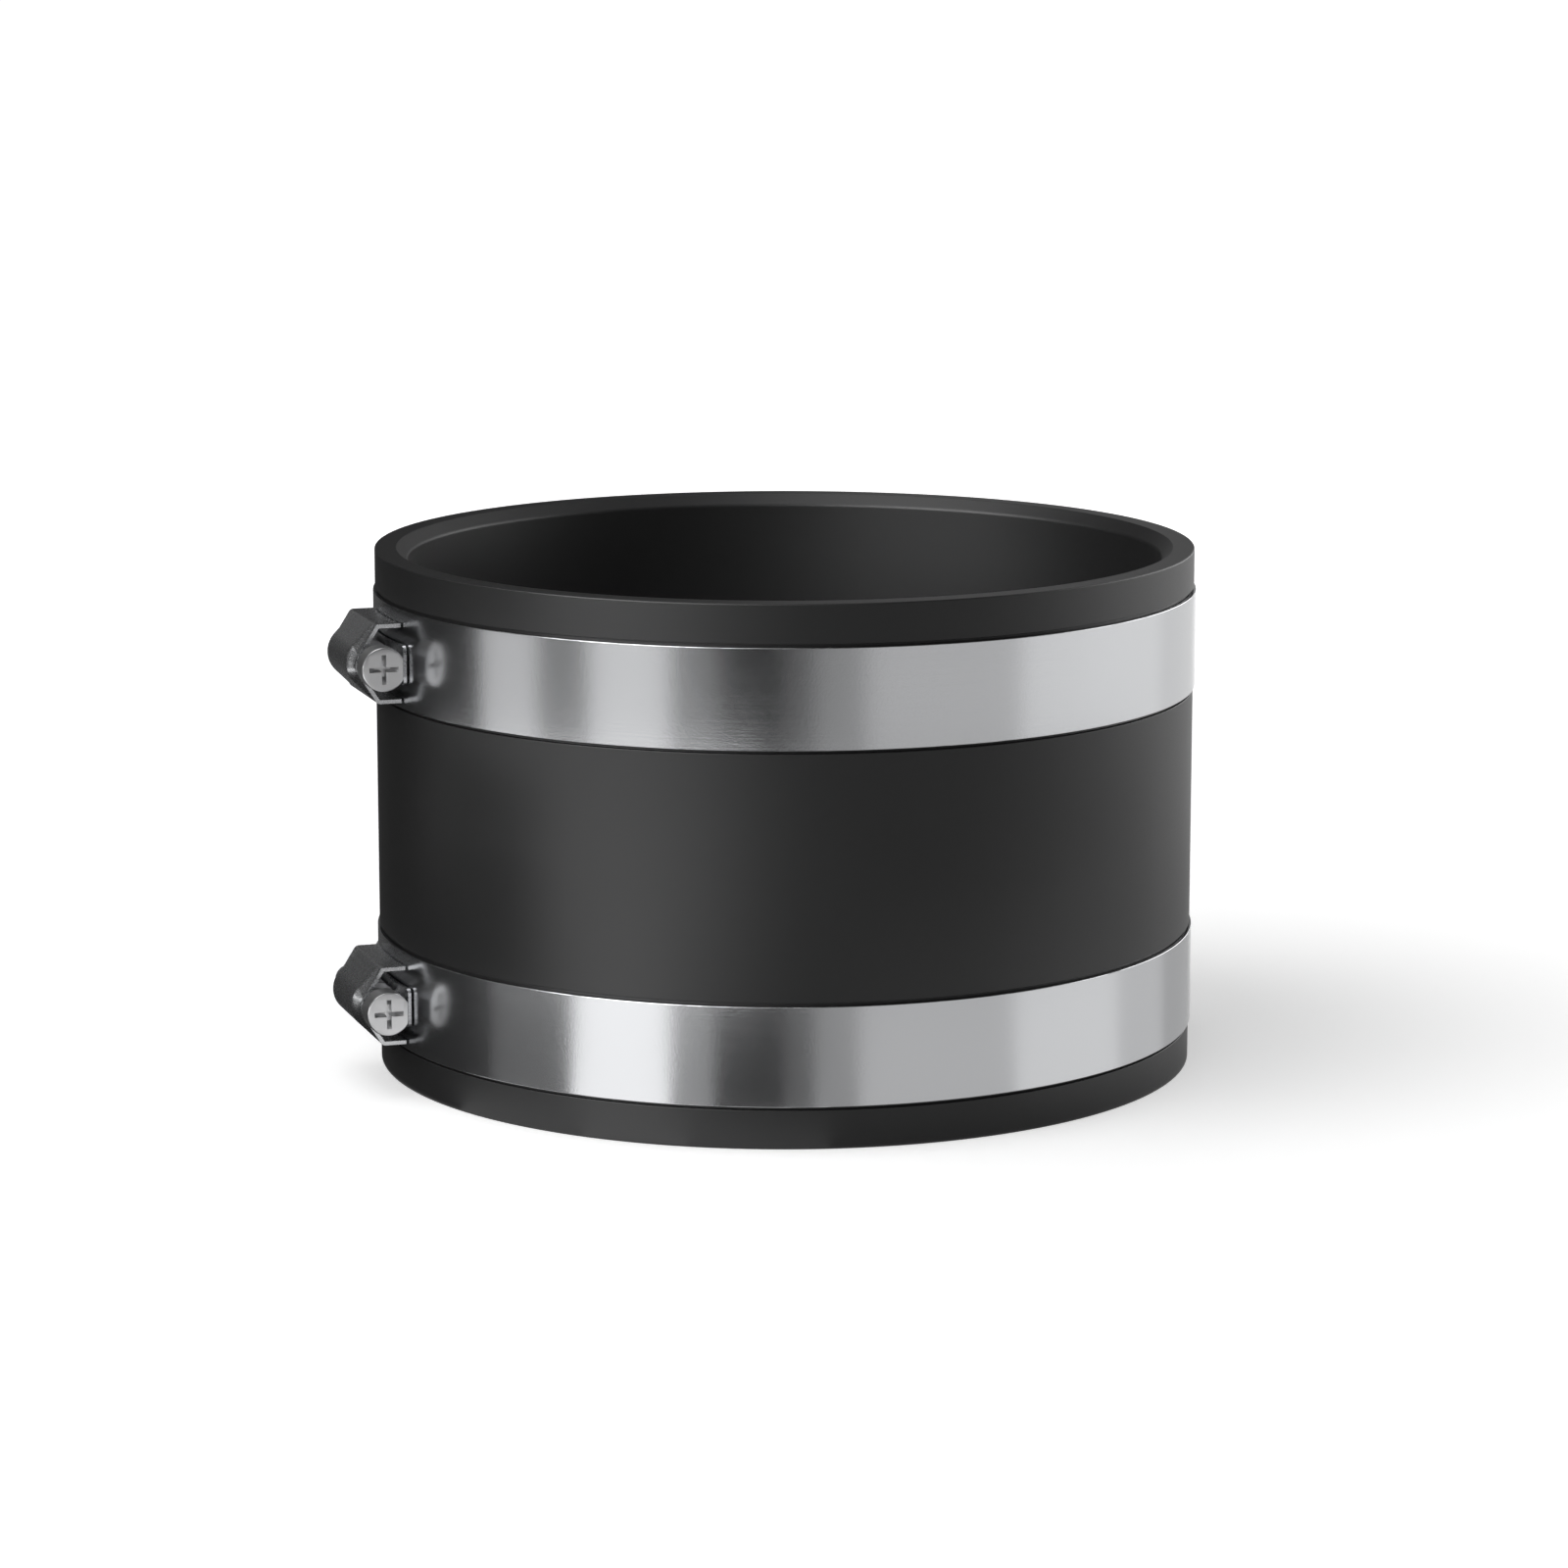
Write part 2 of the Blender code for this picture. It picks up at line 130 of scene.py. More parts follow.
def finish_piece(name, bm, material, body, node, softened=0.0):
    """Turn a closed bmesh into a smooth piece that stands for its CAD node."""
    bmesh.ops.recalc_face_normals(bm, faces=bm.faces)
    mesh = bpy.data.meshes.new(name)
    bm.to_mesh(mesh)
    bm.free()
    mesh.materials.append(material)
    mesh.shade_smooth()
    mesh.set_sharp_from_angle(angle=SHARP_ANGLE)
    piece = bpy.data.objects.new(name, mesh)
    bpy.context.scene.collection.objects.link(piece)
    if softened:
        bevel = piece.modifiers.new("softened_edges", "BEVEL")
        bevel.width = softened
        bevel.segments = BEVEL_SEGMENTS
        bevel.angle_limit = BEVEL_ANGLE
    piece.modifiers.new("even_shading", "WEIGHTED_NORMAL").keep_sharp = True
    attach(piece, body)
    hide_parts(node)
    return piece


def moulded_epdm():
    """Black EPDM: a matte moulded skin that goes a little dusty grey in places."""
    material = bpy.data.materials.new("moulded_epdm_rubber")
    material.use_nodes = True
    tree = material.node_tree
    shader = tree.nodes["Principled BSDF"]
    place = add_node(tree, "TexCoord", {}).outputs["Object"]
    # The dust lies in soft clouds
    cloud = add_node(tree, "TexNoise", {"Vector": place, "Scale": 1 / DUST_CLOUD,
                                        "Detail": 4.0})
    color = add_node(tree, "Mix", {0: cloud.outputs["Fac"], 6: linear(EPDM_BLACK),
                                   7: linear(EPDM_DUSTY)}, data_type="RGBA")
    # Grit left by the mould's blasted face
    grit = add_node(tree, "TexNoise", {"Vector": place, "Scale": 1 / MOULD_GRIT, "Detail": 2.0})
    rough = add_node(tree, "MapRange", {"Value": grit.outputs["Fac"], "To Min": 0.42,
                                        "To Max": 0.50})
    bump = add_node(tree, "Bump", {"Height": grit.outputs["Fac"], "Strength": 0.12,
                                   "Distance": 0.05 * MM})
    tree.links.new(color.outputs[2], shader.inputs["Base Color"])
    tree.links.new(rough.outputs["Result"], shader.inputs["Roughness"])
    tree.links.new(bump.outputs["Normal"], shader.inputs["Normal"])
    shader.inputs["IOR"].default_value = 1.5
    return material


def lathe(outline, steps):
    """Turn a closed (radius, height) outline round the sleeve's axis."""
    bm = bmesh.new()
    loops = []
    for step in range(steps):
        angle = 2 * math.pi * step / steps
        loops.append([bm.verts.new((r * math.cos(angle), r * math.sin(angle), z))
                      for r, z in outline])
    skin(bm, loops, closed=True)
    return bm


wall_half = [
    (BORE_RADIUS, LEAD_IN_DEPTH - HALF_LENGTH, LEAD_IN_ROUND),
    (BORE_RADIUS + LEAD_IN_WIDTH, -HALF_LENGTH, SMALL_ROUND),
    (SLEEVE_RADIUS, -HALF_LENGTH, OUTER_ROUND),
    (SLEEVE_RADIUS, -GROOVE_START, OUTER_ROUND / 2),
    (GROOVE_RADIUS, -GROOVE_START, SMALL_ROUND),
    (GROOVE_RADIUS, -GROOVE_END, SMALL_ROUND),
    (SLEEVE_RADIUS, -GROOVE_END, OUTER_ROUND / 2),
]
wall = wall_half + [(r, -z, rounding) for r, z, rounding in reversed(wall_half)]
finish_piece("sleeve", lathe(round_corners(wall, ROUND_STEPS), SLEEVE_STEPS), moulded_epdm(),
             "coupler", "rubber_sleeve")


# Wide bands: 0.8 mm stainless strip, 19.5 mm wide, rolled to an open ring that lies in the
# groove. The mill finish is satin, with fine rolling lines and a pearly grain.
CLAMP_HEIGHT = 34.35 * MM
HOUSING_ANGLE = math.radians(198.2)
BAND_INNER = 82.3 * MM
BAND_OUTER = 83.1 * MM
BAND_HALF = 9.75 * MM
BAND_EDGE = 0.12 * MM
BAND_EDGE_STEPS = 3
BAND_OPENING = 9.5 * MM
OPENING_ANGLE = math.radians(-85.0)
BAND_CORNER = 2.5 * MM
BAND_CORNER_CUTS = 8
BAND_CORNER_SHARE = 0.96  # of a full quarter round
BAND_STEPS = 360
STAINLESS = "#CDCED0"
LINE_SPACING = MM / 3
LINE_LENGTH = 100 * LINE_SPACING
MILL_GRAIN = 0.4 * MM
LINES_SHARE = 0.35
ROUGHNESS_SPREAD = 0.05
CLAMPS = (("upper", CLAMP_HEIGHT), ("lower", -CLAMP_HEIGHT))


def rolled_stainless(name, roughness, relief):
    """Cold rolled stainless strip: satin, with rolling lines along it and a fine grain."""
    material = bpy.data.materials.new(name)
    material.use_nodes = True
    tree = material.node_tree
    shader = tree.nodes["Principled BSDF"]
    place = add_node(tree, "TexCoord", {}).outputs["Object"]
    # The rolling lines run round the sleeve
    stretch = (1 / LINE_LENGTH, 1 / LINE_LENGTH, 1 / LINE_SPACING)
    stretched = add_node(tree, "Mapping", {"Vector": place, "Scale": stretch})
    lines = add_node(tree, "TexNoise", {"Vector": stretched.outputs[0], "Scale": 1.0,
                                        "Detail": 3.0})
    # Grain of the annealed surface, drawn coarser than it is so that it shows
    grain = add_node(tree, "TexNoise", {"Vector": place, "Scale": 1 / MILL_GRAIN, "Detail": 3.0})
    both = add_node(tree, "Mix", {0: LINES_SHARE, 2: grain.outputs["Fac"],
                                  3: lines.outputs["Fac"]}, data_type="FLOAT")
    rough = add_node(tree, "MapRange", {"Value": both.outputs[0],
                                        "To Min": roughness - ROUGHNESS_SPREAD,
                                        "To Max": roughness + ROUGHNESS_SPREAD})
    bump = add_node(tree, "Bump", {"Height": both.outputs[0], "Strength": relief,
                                   "Distance": 0.03 * MM})
    shader.inputs["Base Color"].default_value = linear(STAINLESS)
    shader.inputs["Metallic"].default_value = 1.0
    tree.links.new(rough.outputs["Result"], shader.inputs["Roughness"])
    tree.links.new(bump.outputs["Normal"], shader.inputs["Normal"])
    return material


def clamp_place(height):
    """The move that turns a part to the housing's bearing and lifts it to its clamp."""
    return Matrix.Translation((0.0, 0.0, height)) @ Matrix.Rotation(HOUSING_ANGLE, 4, "Z")


def corner_pull(distance, corner):
    """How far a rounded strip corner draws in, at a distance from the strip's end."""
    inside = min(corner, max(0.0, corner - distance))
    return corner - math.sqrt(corner**2 - inside**2)


def make_band():
    """The open ring: a strip section with softened edges, its four corners rounded."""
    start = OPENING_ANGLE * BAND_OUTER + BAND_OPENING / 2
    length = 2 * math.pi * BAND_OUTER - BAND_OPENING
    steps = [length * i / BAND_STEPS for i in range(BAND_STEPS + 1)]
    corner = [BAND_CORNER * i / BAND_CORNER_CUTS for i in range(1, BAND_CORNER_CUTS)]
    steps = sorted(steps + corner + [length - c for c in corner])
    bm = bmesh.new()
    loops = []
    for along in steps:
        pull = corner_pull(min(along, length - along), BAND_CORNER)
        half = BAND_HALF - BAND_CORNER_SHARE * pull
        corners = [(BAND_INNER, -half, BAND_EDGE), (BAND_OUTER, -half, BAND_EDGE),
                   (BAND_OUTER, half, BAND_EDGE), (BAND_INNER, half, BAND_EDGE)]
        section = round_corners(corners, BAND_EDGE_STEPS)
        angle = (start + along) / BAND_OUTER
        loops.append([bm.verts.new((r * math.cos(angle), r * math.sin(angle), z))
                      for r, z in section])
    skin(bm, loops, closed=False)
    bm.faces.new(loops[0])
    bm.faces.new(loops[-1])
    return bm


band_steel = rolled_stainless("satin_rolled_stainless", roughness=0.20, relief=0.6)
for side, height in CLAMPS:
    bm = make_band()
    bm.transform(clamp_place(height))
    finish_piece(side + "_wide_band", bm, band_steel, "coupler",
                 side + "_band")


# Slotted straps: 0.7 mm stainless strip, 7.8 mm wide. The slots are punched on a slant to
# suit the worm's lead. One end is spot welded on the band, the other runs out past the screw.
STRAP_OFFSET = -0.7 * MM
STRAP_INNER = 83.4 * MM
STRAP_OUTER = 84.1 * MM
STRAP_MIDDLE = (STRAP_INNER + STRAP_OUTER) / 2
STRAP_HALF = 3.9 * MM
STRAP_TAIL = 14.0 * MM
STRAP_LAP = 24.0 * MM
STRAP_START = OPENING_ANGLE * STRAP_MIDDLE - BAND_OPENING / 2 - STRAP_LAP
STRAP_CORNER = 1.0 * MM
STRAP_CORNER_CUTS = 6
STRAP_CORNER_SHARE = 0.9  # of a full quarter round
STRAP_ROWS_WITHIN = 0.9  # of the half width, for the rows of points inside the edges
STRAP_STEP = 1.5 * MM
STRAP_MERGE = 0.002 * MM
STRAP_SOFTENED = 0.06 * MM
SLOT_PITCH = 3.0 * MM
FIRST_SLOT = -17
LAST_SLOT = 3
SLOT_HALF_WIDTH = 0.78 * MM
SLOT_HALF_LENGTH = 2.36 * MM
SLOT_ROUND = 0.5 * MM
THREAD_MIDDLE = 3.65 * MM
SLOT_SLANT = SLOT_PITCH / (2 * math.pi * THREAD_MIDDLE)
SLOT_ARC_STEPS = 4
WELD_RADIUS = 1.4 * MM
WELD_PROUD = 0.10 * MM
WELD_SEAT = 0.05 * MM
WELD_STEPS = 24
WELD_LEVELS = 6
WELDS_FROM_END = (4.0 * MM, 9.5 * MM, 18.5 * MM)


def add_weld(bm, angle):
    """A weld's mark: a low round swelling that stands on the strap's outer face."""
    levels = [(WELD_RADIUS, -WELD_SEAT)]
    for level in range(WELD_LEVELS):
        rise = math.pi / 2 * level / WELD_LEVELS
        levels.append((WELD_RADIUS * math.cos(rise), WELD_PROUD * math.sin(rise)))
    rings = []
    for reach, proud in levels:
        radius = STRAP_OUTER + proud
        ring = []
        for step in range(WELD_STEPS):
            turn = 2 * math.pi * step / WELD_STEPS
            bend = angle + reach * math.cos(turn) / radius
            ring.append(bm.verts.new((radius * math.cos(bend), radius * math.sin(bend),
                                      reach * math.sin(turn))))
        rings.append(ring)
    skin(bm, rings, closed=False)
    bm.faces.new(rings[0])
    bm.faces.new(rings[-1])


def make_strap():
    """The strap, cut flat cell by cell, given its thickness and bent round the sleeve."""
    slot = round_corners([(SLOT_HALF_WIDTH, SLOT_HALF_LENGTH, SLOT_ROUND),
                          (-SLOT_HALF_WIDTH, SLOT_HALF_LENGTH, SLOT_ROUND),
                          (-SLOT_HALF_WIDTH, -SLOT_HALF_LENGTH, SLOT_ROUND),
                          (SLOT_HALF_WIDTH, -SLOT_HALF_LENGTH, SLOT_ROUND)], SLOT_ARC_STEPS)
    # The cell round a slot has a point for each of the slot's, with its corners half way along
    # the slot's arcs
    middles = [k * (SLOT_ARC_STEPS + 1) + SLOT_ARC_STEPS // 2 for k in range(4)]
    cell = []
    for index, (s, z) in enumerate(slot):
        side = sum(index > m for m in middles) % 4
        if index in middles:
            cell.append((math.copysign(SLOT_PITCH / 2, s), math.copysign(STRAP_HALF, z)))
        elif side in (1, 3):
            cell.append((s, math.copysign(STRAP_HALF, z)))
        else:
            cell.append((math.copysign(SLOT_PITCH / 2, s), z))
    heights = sorted({round(z, 9) for s, z in cell if s > SLOT_HALF_WIDTH})
    bm = bmesh.new()

    def add_row(arc, half):
        inner = STRAP_ROWS_WITHIN * half
        row = []
        for z in heights:
            on_edge = abs(z) == STRAP_HALF
            z = math.copysign(half, z) if on_edge else max(-inner, min(inner, z))
            row.append(bm.verts.new((arc, z, 0.0)))
        return row

    def add_plain(stations):
        rows = [add_row(arc, half) for arc, half in stations]
        for left, right in zip(rows, rows[1:]):
            for i in range(len(heights) - 1):
                bm.faces.new((left[i], right[i], right[i + 1], left[i + 1]))

    corner = [STRAP_CORNER * i / STRAP_CORNER_CUTS for i in range(STRAP_CORNER_CUTS + 1)]
    slots_start = (FIRST_SLOT - 0.5) * SLOT_PITCH
    slots_stop = (LAST_SLOT + 0.5) * SLOT_PITCH
    long_steps = int((slots_start - STRAP_START - STRAP_CORNER) / STRAP_STEP)
    halves = [STRAP_HALF - STRAP_CORNER_SHARE * corner_pull(c, STRAP_CORNER) for c in corner]
    lap = [(STRAP_START + c, half) for c, half in zip(corner, halves)]
    run = slots_start - lap[-1][0]
    lap += [(lap[-1][0] + run * (i + 1) / long_steps, STRAP_HALF) for i in range(long_steps)]
    add_plain(lap)
    tail = [(slots_stop, STRAP_HALF)]
    tail += [(STRAP_TAIL - c, half) for c, half in reversed(list(zip(corner, halves)))]
    add_plain(tail)
    for number in range(FIRST_SLOT, LAST_SLOT + 1):
        middle = number * SLOT_PITCH
        hole = [bm.verts.new((middle + s + z * SLOT_SLANT, z, 0.0)) for s, z in slot]
        rim = [bm.verts.new((middle + s, z, 0.0)) for s, z in cell]
        skin(bm, [rim, hole], closed=False)
    bmesh.ops.remove_doubles(bm, verts=bm.verts, dist=STRAP_MERGE)
    bmesh.ops.recalc_face_normals(bm, faces=bm.faces)
    top = bmesh.ops.extrude_face_region(bm, geom=bm.faces[:], use_keep_orig=True)["geom"]
    bmesh.ops.translate(bm, vec=(0.0, 0.0, 1.0),
                        verts=[v for v in top if isinstance(v, bmesh.types.BMVert)])
    for vert in bm.verts:
        arc, height, level = vert.co
        radius = STRAP_OUTER if level > 0.5 else STRAP_INNER
        angle = arc / STRAP_MIDDLE
        vert.co = (radius * math.cos(angle), radius * math.sin(angle), height)
    for distance in WELDS_FROM_END:
        add_weld(bm, (STRAP_START + distance) / STRAP_MIDDLE)
    return bm


strap_steel = rolled_stainless("satin_punched_stainless", roughness=0.28, relief=0.25)
for side, height in CLAMPS:
    bm = make_strap()
    bm.transform(clamp_place(height + STRAP_OFFSET))
    finish_piece(side + "_slotted_strap", bm, strap_steel, side + "_strap_end",
                 side + "_strap", softened=STRAP_SOFTENED)


# Screw housings: 0.8 mm sheet folded to a roof over the worm. Both mouths are pinched in to
# keep the screw from sliding out, and the side walls are welded down on the band.
HOUSING_LENGTH = 22.0 * MM
HOUSING_HALF = 7.9 * MM
SHEET = 0.8 * MM
SHOULDER_HEIGHT = 4.9 * MM
SHOULDER_BEND = 1.15 * MM
LEAST_BEND = 0.05 * MM
SCREW_HEIGHT = 87.75 * MM
WIDE_INSIDE = 4.5 * MM
NARROW_INSIDE = 3.2 * MM
MOUTH_LENGTH = 0.3 * MM
PINCH_LENGTH = 2.9 * MM
PINCH_STEPS = 12
MIDDLE_STEPS = 5
WALL_GAP = 0.3 * MM
WALL_CUTS = 4
BEND_POINTS = 8
ROOF_POINTS = 25
HOUSING_SOFTENED = 0.03 * MM


def arc_points(center, radius, start, stop, count):
    """Points on an arc in a section, from the start angle to the stop angle."""
    angles = [start + (stop - start) * i / (count - 1) for i in range(count)]
    return [(center[0] + radius * math.cos(a), center[1] + radius * math.sin(a)) for a in angles]


def housing_section(y):
    """The folded sheet across the screw: outside and inside points, from wall to wall."""
    seat = math.sqrt((BAND_OUTER + WALL_GAP) ** 2 - y**2)
    share = (HOUSING_LENGTH / 2 - abs(y) - MOUTH_LENGTH) / PINCH_LENGTH
    share = min(1.0, max(0.0, share))
    ease = (share + share * share * (3 - 2 * share)) / 2
    outside = NARROW_INSIDE + (WIDE_INSIDE - NARROW_INSIDE) * ease + SHEET
    fold = (BAND_OUTER + SHOULDER_HEIGHT - SHOULDER_BEND, HOUSING_HALF - SHOULDER_BEND)
    rise, reach = fold[0] - SCREW_HEIGHT, fold[1]
    slope = math.atan2(reach, rise) - math.acos((outside - SHOULDER_BEND)
                                                / math.hypot(rise, reach))
    skins = []
    for depth in (0.0, SHEET):
        bend = max(SHOULDER_BEND - depth, LEAST_BEND)
        half = [(seat + (fold[0] - seat) * i / WALL_CUTS, HOUSING_HALF - depth)
                for i in range(WALL_CUTS)]
        half += arc_points(fold, bend, math.pi / 2, slope, BEND_POINTS)
        roof = arc_points((SCREW_HEIGHT, 0.0), outside - depth, slope, -slope, ROOF_POINTS)
        skins.append(half + roof + [(x, -z) for x, z in reversed(half)])
    return skins[0] + skins[1][::-1]


def make_housing():
    """Loft the folded sheet along the screw, with closer steps where the mouths pinch in."""
    half = HOUSING_LENGTH / 2
    close = MOUTH_LENGTH + PINCH_LENGTH
    ends = [half - close * i / PINCH_STEPS for i in range(PINCH_STEPS)]
    middle = [(half - close) * i / MIDDLE_STEPS for i in range(MIDDLE_STEPS + 1)]
    stations = sorted({round(sign * y, 9) for y in ends + middle for sign in (-1, 1)})
    bm = bmesh.new()
    loops = [[bm.verts.new((x, y, z)) for x, z in housing_section(y)] for y in stations]
    skin(bm, loops, closed=False)
    count = len(loops[0])
    for loop in (loops[0], loops[-1]):
        for i in range(count // 2 - 1):
            bm.faces.new((loop[i], loop[i + 1], loop[count - 2 - i], loop[count - 1 - i]))
    return bm


housing_steel = rolled_stainless("folded_stainless_sheet", roughness=0.27, relief=0.05)
for side, height in CLAMPS:
    bm = make_housing()
    bm.transform(clamp_place(height + STRAP_OFFSET))
    finish_piece(side + "_folded_housing", bm, housing_steel, "coupler",
                 side + "_housing", softened=HOUSING_SOFTENED)


# Worm screws: each is turned from zinc plated steel in one piece, with a right-hand worm,
# a plain journal at each end, and a round head with one flat and a pressed cross recess.
THREAD_HALF = 8.8 * MM
WORM_RADIUS = 4.2 * MM
CORE_RADIUS = 3.0 * MM
THREAD_CREST = 0.6 * MM
THREAD_SLOPE = math.radians(20.0)
THREAD_FLANK = (WORM_RADIUS - CORE_RADIUS) * math.tan(THREAD_SLOPE)
THREAD_RUNOUT = 0.9 * MM
CREST_IN = 0.05 * MM
CREST_OUT = 0.03 * MM
FOOT_OUT = 0.12 * MM
NECK_RADIUS = 2.9 * MM
TIP_END = -16.8 * MM
TIP_ROUND = 0.9 * MM
TIP_POINTS = 9
HEAD_START = 13.0 * MM
HEAD_END = 17.9 * MM
HEAD_RADIUS = 4.35 * MM
HEAD_EDGE = 0.25 * MM
HEAD_EDGE_STEPS = 4
HEAD_FLAT = 0.45 * MM
RECESS_MOUTH = (2.9 * MM, 0.45 * MM)
RECESS_FLOOR = (1.6 * MM, 0.37 * MM)
RECESS_DEPTH = 1.9 * MM
RECESS_EDGE = 0.05 * MM
LATHE_FEED = 0.12 * MM
SCREW_STEPS = 96
SCREW_MERGE = 0.001 * MM
ZINC = "#D2D2D3"
PLATE_GRAIN = MM / 3
RINGS_SHARE = 0.12


def turned_ring(bm, radius, z, inset=0.0):
    """A ring of the screw, cut off straight where the head's flat reaches it."""
    flat = HEAD_RADIUS - HEAD_FLAT - inset
    ring = []
    for step in range(SCREW_STEPS):
        angle = 2 * math.pi * step / SCREW_STEPS
        ring.append(bm.verts.new((max(radius * math.cos(angle), -flat),
                                  radius * math.sin(angle), z)))
    return ring


def add_worm(bm):
    """The thread as a grid that follows the helix and fades into the core at its ends."""
    crest = THREAD_CREST / 2
    foot = crest + THREAD_FLANK
    # Half of the thread's form: places along the screw, each with its share of the full height
    form = [(crest - CREST_IN, 1.0), (crest + CREST_OUT, 0.97), (foot, 0.05),
            (foot + FOOT_OUT, 0.0)]
    form = [(-offset, share) for offset, share in reversed(form)] + form
    turns = math.ceil(THREAD_HALF / SLOT_PITCH) + 1
    lines = [((turn + 0.5) * SLOT_PITCH + offset, share)
             for turn in range(-turns - 1, turns + 1) for offset, share in form]
    columns = []
    for step in range(SCREW_STEPS + 1):
        angle = 2 * math.pi * step / SCREW_STEPS
        column = []
        for offset, share in lines:
            z = offset + SLOT_PITCH * step / SCREW_STEPS
            z = min(THREAD_HALF, max(-THREAD_HALF, z))
            fade = min(1.0, (THREAD_HALF - abs(z)) / THREAD_RUNOUT)
            radius = CORE_RADIUS + (WORM_RADIUS - CORE_RADIUS) * share * fade
            column.append(bm.verts.new((radius * math.cos(angle), radius * math.sin(angle), z)))
        columns.append(column)
    for left, right in zip(columns, columns[1:]):
        for i in range(len(lines) - 1):
            bm.faces.new((left[i], right[i], right[i + 1], left[i + 1]))
    bmesh.ops.remove_doubles(bm, verts=bm.verts, dist=SCREW_MERGE)


def cross_ring(bm, reach, half, z):
    """The twelve corners of a cross."""
    ring = []
    for quarter in range(4):
        turn = Matrix.Rotation(quarter * math.pi / 2, 3, "Z")
        for x, y in ((reach, -half), (reach, half), (half, half)):
            ring.append(bm.verts.new(turn @ Vector((x, y, z))))
    return ring


def make_screw():
    """The screw along its own Z axis, with its head at the top."""
    bm = bmesh.new()
    add_worm(bm)
    tip = [(CORE_RADIUS, -THREAD_HALF), (NECK_RADIUS, -THREAD_HALF)]
    tip += arc_points((NECK_RADIUS - TIP_ROUND, TIP_END + TIP_ROUND), TIP_ROUND, 0.0,
                      -math.pi / 2, TIP_POINTS)
    rings = [turned_ring(bm, r, z) for r, z in tip]
    skin(bm, rings, closed=False)
    bm.faces.new(rings[-1])
    rings = [turned_ring(bm, CORE_RADIUS, THREAD_HALF), turned_ring(bm, NECK_RADIUS, THREAD_HALF),
             turned_ring(bm, NECK_RADIUS, HEAD_START)]
    edge = []
    for step in range(HEAD_EDGE_STEPS + 1):
        turn = math.pi / 2 * step / HEAD_EDGE_STEPS
        edge.append((HEAD_EDGE * (1 - math.sin(turn)), HEAD_EDGE * (1 - math.cos(turn))))
    for inset, rise in edge:
        rings.append(turned_ring(bm, HEAD_RADIUS - inset, HEAD_START + rise, inset))
    for drop, inset in edge:
        rings.append(turned_ring(bm, HEAD_RADIUS - inset, HEAD_END - drop, inset))
    skin(bm, rings, closed=False)
    reach, half = RECESS_MOUTH
    deep_reach, deep_half = RECESS_FLOOR
    crosses = [cross_ring(bm, reach + RECESS_EDGE, half + RECESS_EDGE, HEAD_END),
               cross_ring(bm, reach, half, HEAD_END - RECESS_EDGE),
               cross_ring(bm, deep_reach, deep_half, HEAD_END - RECESS_DEPTH)]
    skin(bm, crosses, closed=False)
    bm.faces.new(crosses[-1])
    edges = []
    for ring in (rings[-1], crosses[0]):
        for i in range(len(ring)):
            edges.append(bm.edges.get((ring[i - 1], ring[i])))
    bmesh.ops.triangle_fill(bm, use_beauty=True, use_dissolve=False, edges=edges,
                            normal=(0.0, 0.0, 1.0))
    bmesh.ops.remove_doubles(bm, verts=bm.verts, dist=SCREW_MERGE)
    return bm


def plated_steel():
    """Bright zinc plate over turned steel: satin, with faint rings left by the lathe."""
    material = bpy.data.materials.new("zinc_plated_turned_steel")
    material.use_nodes = True
    tree = material.node_tree
    shader = tree.nodes["Principled BSDF"]
    place = add_node(tree, "TexCoord", {}).outputs["Object"]
    flat = add_node(tree, "VectorMath", {0: place, 1: (1.0, 1.0, 0.0)}, operation="MULTIPLY")
    radius = add_node(tree, "VectorMath", {0: flat.outputs[0]}, operation="LENGTH")
    # Lathe rings as far apart as a fine feed leaves them
    wave = add_node(tree, "Math", {0: radius.outputs["Value"], 1: 2 * math.pi / LATHE_FEED},
                    operation="MULTIPLY")
    rings = add_node(tree, "Math", {0: wave.outputs[0]}, operation="SINE")
    # Grain of the plate, drawn coarser than it is so that it shows
    grain = add_node(tree, "TexNoise", {"Vector": place, "Scale": 1 / PLATE_GRAIN, "Detail": 3.0})
    both = add_node(tree, "Math", {0: rings.outputs[0], 1: RINGS_SHARE,
                                   2: grain.outputs["Fac"]}, operation="MULTIPLY_ADD")
    rough = add_node(tree, "MapRange", {"Value": grain.outputs["Fac"], "To Min": 0.26,
                                        "To Max": 0.36})
    bump = add_node(tree, "Bump", {"Height": both.outputs[0], "Strength": 0.2,
                                   "Distance": 0.02 * MM})
    shader.inputs["Base Color"].default_value = linear(ZINC)
    shader.inputs["Metallic"].default_value = 1.0
    tree.links.new(rough.outputs["Result"], shader.inputs["Roughness"])
    tree.links.new(bump.outputs["Normal"], shader.inputs["Normal"])
    return material


screw_steel = plated_steel()
for side, height in CLAMPS:
    screw = finish_piece(side + "_worm_screw", make_screw(), screw_steel, side + "_screw_drive",
                         side + "_screw")
    screw.matrix_world = (clamp_place(height + STRAP_OFFSET)
                          @ Matrix.Translation((SCREW_HEIGHT, 0.0, 0.0))
                          @ Matrix.Rotation(-math.pi / 2, 4, "X"))


# Studio: a white floor and backdrop, softboxes on the left and above it, and a wide one behind
# on the right. Cards seen only in reflections stand for the dark room and reflectors, and give
# the steel its bands. Places in the studio are in metres.
WHITE = linear("#FFFFFF")
FLOOR_WHITE = "#E6E6E6"
FLOOR_SIZE = 30.0
SHADOW_HEART = (80.0 * MM, 40.0 * MM, -HALF_LENGTH)
NEAR_GLOW = {"From Min": 0.02, "From Max": 0.12, "To Min": 0.38, "To Max": 0.56}
FAR_GLOW = {"From Min": 0.25, "From Max": 0.75, "To Min": 0.0, "To Max": 0.39}
ROOM_LIGHT = 0.15
CARD_LIFT = 0.3 * MM
CARD_GAP = 0.2 * MM
CARD_STEP = 2.0


